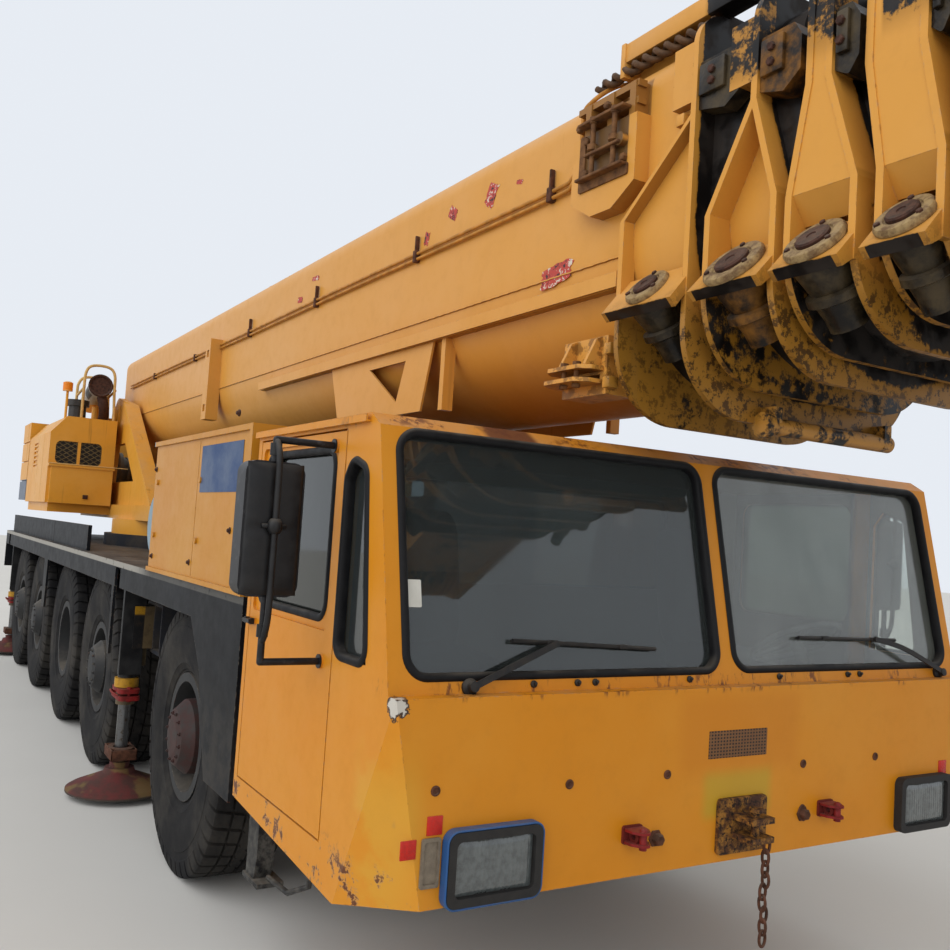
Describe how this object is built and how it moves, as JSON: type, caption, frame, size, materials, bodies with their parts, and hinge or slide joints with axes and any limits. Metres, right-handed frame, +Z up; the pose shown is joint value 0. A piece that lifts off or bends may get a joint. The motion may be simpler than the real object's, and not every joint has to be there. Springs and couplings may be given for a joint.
{
  "type": "five-axle mobile crane",
  "caption": "All-terrain mobile crane with a wide flat-fronted cab, a closed round-bottomed telescopic boom, slewing superstructure, outriggers and steered wheels.",
  "frame": {"origin": "on the ground under the middle of the whole crane as parked, boom closed", "axes": "+X forward, +Y to the left of the crane, +Z up"},
  "size_m": [14.505, 3.68, 3.8838],
  "materials": {
    "orange_paint": "faded gloss",
    "boom_paint": "faded gloss",
    "frame_paint": "worn",
    "skirt_paint": "worn",
    "tyre_rubber": "matt",
    "wheel_paint": "worn",
    "pane": "clear",
    "lamp_housing": "gloss",
    "cabin_trim": "matt",
    "axle_iron": "rough",
    "rod_chrome": "polished",
    "float_paint": "rusty",
    "winch_iron": "rough"
  },
  "bodies": {
    "carrier": {"chassis_frame": "frame_paint", "deck_skirts": "skirt_paint", "carrier_cab": "orange_paint", "cab_glass": "pane", "cab_interior": "cabin_trim", "front_lamps": "lamp_housing", "side_boxes": "orange_paint", "axle_set": "axle_iron"},
    "superstructure": {"turntable": "orange_paint", "hoist_winch": "winch_iron", "engine_hood": "orange_paint", "counterweight": "orange_paint", "crane_cab": "orange_paint", "crane_cab_glass": "pane"},
    "crane_cab_door": {"crane_cab_door": "orange_paint"},
    "lift_barrel": {"lift_barrel": "orange_paint"},
    "lift_rod": {"lift_rod": "rod_chrome"},
    "boom_base": {"boom_base": "boom_paint"},
    "tele_1": {"tele_1": "boom_paint"},
    "tele_2": {"tele_2": "boom_paint"},
    "tele_3": {"tele_3": "boom_paint"},
    "tele_4": {"tele_4": "boom_paint"},
    "knuckle_1_left": {"knuckle_1_left": "axle_iron"},
    "wheel_1_left": {"tyre_1_left": "tyre_rubber", "rim_1_left": "wheel_paint"},
    "knuckle_1_right": {"knuckle_1_right": "axle_iron"},
    "wheel_1_right": {"tyre_1_right": "tyre_rubber", "rim_1_right": "wheel_paint"},
    "knuckle_2_left": {"knuckle_2_left": "axle_iron"},
    "wheel_2_left": {"tyre_2_left": "tyre_rubber", "rim_2_left": "wheel_paint"},
    "knuckle_2_right": {"knuckle_2_right": "axle_iron"},
    "wheel_2_right": {"tyre_2_right": "tyre_rubber", "rim_2_right": "wheel_paint"},
    "wheel_3_left": {"tyre_3_left": "tyre_rubber", "rim_3_left": "wheel_paint"},
    "wheel_3_right": {"tyre_3_right": "tyre_rubber", "rim_3_right": "wheel_paint"},
    "knuckle_4_left": {"knuckle_4_left": "axle_iron"},
    "wheel_4_left": {"tyre_4_left": "tyre_rubber", "rim_4_left": "wheel_paint"},
    "knuckle_4_right": {"knuckle_4_right": "axle_iron"},
    "wheel_4_right": {"tyre_4_right": "tyre_rubber", "rim_4_right": "wheel_paint"},
    "knuckle_5_left": {"knuckle_5_left": "axle_iron"},
    "wheel_5_left": {"tyre_5_left": "tyre_rubber", "rim_5_left": "wheel_paint"},
    "knuckle_5_right": {"knuckle_5_right": "axle_iron"},
    "wheel_5_right": {"tyre_5_right": "tyre_rubber", "rim_5_right": "wheel_paint"},
    "door_left": {"door_left": "orange_paint"},
    "beam_front_left": {"beam_front_left": "orange_paint"},
    "jack_front_left": {"jack_front_left": "float_paint"},
    "beam_rear_left": {"beam_rear_left": "orange_paint"},
    "jack_rear_left": {"jack_rear_left": "float_paint"},
    "door_right": {"door_right": "orange_paint"},
    "beam_front_right": {"beam_front_right": "orange_paint"},
    "jack_front_right": {"jack_front_right": "float_paint"},
    "beam_rear_right": {"beam_rear_right": "orange_paint"},
    "jack_rear_right": {"jack_rear_right": "float_paint"}
  },
  "joints": [
    {"name": "steer_1_left", "type": "hinge", "parent": "carrier", "child": "knuckle_1_left", "pos_m": [1.9875, 1.045, 0.735], "axis": [0, 0, 1], "range_deg": [-28, 28]},
    {"name": "roll_1_left", "type": "hinge", "parent": "knuckle_1_left", "child": "wheel_1_left", "pos_m": [1.9875, 1.21, 0.735], "axis": [0, 1, 0], "continuous": true},
    {"name": "steer_1_right", "type": "hinge", "parent": "carrier", "child": "knuckle_1_right", "pos_m": [1.9875, -1.045, 0.735], "axis": [0, 0, 1], "range_deg": [-28, 28]},
    {"name": "roll_1_right", "type": "hinge", "parent": "knuckle_1_right", "child": "wheel_1_right", "pos_m": [1.9875, -1.21, 0.735], "axis": [0, 1, 0], "continuous": true},
    {"name": "steer_2_left", "type": "hinge", "parent": "carrier", "child": "knuckle_2_left", "pos_m": [-0.5725, 1.045, 0.735], "axis": [0, 0, 1], "range_deg": [-17, 17]},
    {"name": "roll_2_left", "type": "hinge", "parent": "knuckle_2_left", "child": "wheel_2_left", "pos_m": [-0.5725, 1.21, 0.735], "axis": [0, 1, 0], "continuous": true},
    {"name": "steer_2_right", "type": "hinge", "parent": "carrier", "child": "knuckle_2_right", "pos_m": [-0.5725, -1.045, 0.735], "axis": [0, 0, 1], "range_deg": [-17, 17]},
    {"name": "roll_2_right", "type": "hinge", "parent": "knuckle_2_right", "child": "wheel_2_right", "pos_m": [-0.5725, -1.21, 0.735], "axis": [0, 1, 0], "continuous": true},
    {"name": "roll_3_left", "type": "hinge", "parent": "carrier", "child": "wheel_3_left", "pos_m": [-2.3125, 1.21, 0.735], "axis": [0, 1, 0], "continuous": true},
    {"name": "roll_3_right", "type": "hinge", "parent": "carrier", "child": "wheel_3_right", "pos_m": [-2.3125, -1.21, 0.735], "axis": [0, 1, 0], "continuous": true},
    {"name": "steer_4_left", "type": "hinge", "parent": "carrier", "child": "knuckle_4_left", "pos_m": [-4.1275, 1.045, 0.735], "axis": [0, 0, 1], "range_deg": [-10, 10]},
    {"name": "roll_4_left", "type": "hinge", "parent": "knuckle_4_left", "child": "wheel_4_left", "pos_m": [-4.1275, 1.21, 0.735], "axis": [0, 1, 0], "continuous": true},
    {"name": "steer_4_right", "type": "hinge", "parent": "carrier", "child": "knuckle_4_right", "pos_m": [-4.1275, -1.045, 0.735], "axis": [0, 0, 1], "range_deg": [-10, 10]},
    {"name": "roll_4_right", "type": "hinge", "parent": "knuckle_4_right", "child": "wheel_4_right", "pos_m": [-4.1275, -1.21, 0.735], "axis": [0, 1, 0], "continuous": true},
    {"name": "steer_5_left", "type": "hinge", "parent": "carrier", "child": "knuckle_5_left", "pos_m": [-5.7475, 1.045, 0.735], "axis": [0, 0, 1], "range_deg": [-22, 22]},
    {"name": "roll_5_left", "type": "hinge", "parent": "knuckle_5_left", "child": "wheel_5_left", "pos_m": [-5.7475, 1.21, 0.735], "axis": [0, 1, 0], "continuous": true},
    {"name": "steer_5_right", "type": "hinge", "parent": "carrier", "child": "knuckle_5_right", "pos_m": [-5.7475, -1.045, 0.735], "axis": [0, 0, 1], "range_deg": [-22, 22]},
    {"name": "roll_5_right", "type": "hinge", "parent": "knuckle_5_right", "child": "wheel_5_right", "pos_m": [-5.7475, -1.21, 0.735], "axis": [0, 1, 0], "continuous": true},
    {"name": "door_left_swing", "type": "hinge", "parent": "carrier", "child": "door_left", "pos_m": [4.1665, 1.492, 1.5], "axis": [0, 0, -1], "range_deg": [0, 70]},
    {"name": "beam_front_left_slide", "type": "slide", "parent": "carrier", "child": "beam_front_left", "axis": [0, 1, 0], "range_m": [0, 2]},
    {"name": "jack_front_left_slide", "type": "slide", "parent": "beam_front_left", "child": "jack_front_left", "axis": [0, 0, -1], "range_m": [-0.25, 0.45]},
    {"name": "beam_rear_left_slide", "type": "slide", "parent": "carrier", "child": "beam_rear_left", "axis": [0, 1, 0], "range_m": [0, 2]},
    {"name": "jack_rear_left_slide", "type": "slide", "parent": "beam_rear_left", "child": "jack_rear_left", "axis": [0, 0, -1], "range_m": [-0.25, 0.45]},
    {"name": "door_right_swing", "type": "hinge", "parent": "carrier", "child": "door_right", "pos_m": [4.1665, -1.492, 1.5], "axis": [0, 0, 1], "range_deg": [0, 70]},
    {"name": "beam_front_right_slide", "type": "slide", "parent": "carrier", "child": "beam_front_right", "axis": [0, -1, 0], "range_m": [0, 2]},
    {"name": "jack_front_right_slide", "type": "slide", "parent": "beam_front_right", "child": "jack_front_right", "axis": [0, 0, -1], "range_m": [-0.25, 0.45]},
    {"name": "beam_rear_right_slide", "type": "slide", "parent": "carrier", "child": "beam_rear_right", "axis": [0, -1, 0], "range_m": [0, 2]},
    {"name": "jack_rear_right_slide", "type": "slide", "parent": "beam_rear_right", "child": "jack_rear_right", "axis": [0, 0, -1], "range_m": [-0.25, 0.45]},
    {"name": "slew", "type": "hinge", "parent": "carrier", "child": "superstructure", "pos_m": [-3.1975, 0, 1.72], "axis": [0, 0, 1], "continuous": true},
    {"name": "crane_cab_door_slide", "type": "slide", "parent": "superstructure", "child": "crane_cab_door", "axis": [-1, 0, 0], "range_m": [0, 0.7]},
    {"name": "boom_lift", "type": "hinge", "parent": "superstructure", "child": "boom_base", "pos_m": [-4.4975, 0, 3.05], "axis": [0, -1, 0], "range_deg": [0, 78]},
    {"name": "lift_barrel_swing", "type": "hinge", "parent": "superstructure", "child": "lift_barrel", "pos_m": [-2.7475, 0, 2.25], "axis": [0, -1, 0], "range_deg": [0, 87.5]},
    {"name": "lift_rod_slide", "type": "slide", "parent": "lift_barrel", "child": "lift_rod", "axis": [0.9992, 0, 0.0405], "range_m": [0, 2.293]},
    {"name": "tele_1_slide", "type": "slide", "parent": "boom_base", "child": "tele_1", "axis": [1, 0, 0], "range_m": [0, 7]},
    {"name": "tele_2_slide", "type": "slide", "parent": "tele_1", "child": "tele_2", "axis": [1, 0, 0], "range_m": [0, 7]},
    {"name": "tele_3_slide", "type": "slide", "parent": "tele_2", "child": "tele_3", "axis": [1, 0, 0], "range_m": [0, 7]},
    {"name": "tele_4_slide", "type": "slide", "parent": "tele_3", "child": "tele_4", "axis": [1, 0, 0], "range_m": [0, 7]}
  ],
  "couplings": [
    {"joint": "steer_1_right", "follows": "steer_1_left", "ratio": 1},
    {"joint": "steer_2_left", "follows": "steer_1_left", "ratio": 0.6071},
    {"joint": "steer_2_right", "follows": "steer_1_left", "ratio": 0.6071},
    {"joint": "steer_4_left", "follows": "steer_5_left", "ratio": 0.4545},
    {"joint": "steer_4_right", "follows": "steer_5_left", "ratio": 0.4545},
    {"joint": "steer_5_right", "follows": "steer_5_left", "ratio": 1},
    {"joint": "lift_barrel_swing", "follows": "boom_lift", "ratio": 1.1217},
    {"joint": "lift_rod_slide", "follows": "boom_lift", "m_per_rad": 1.6841},
    {"joint": "tele_2_slide", "follows": "tele_1_slide", "ratio": 1},
    {"joint": "tele_3_slide", "follows": "tele_1_slide", "ratio": 1},
    {"joint": "tele_4_slide", "follows": "tele_1_slide", "ratio": 1}
  ]
}
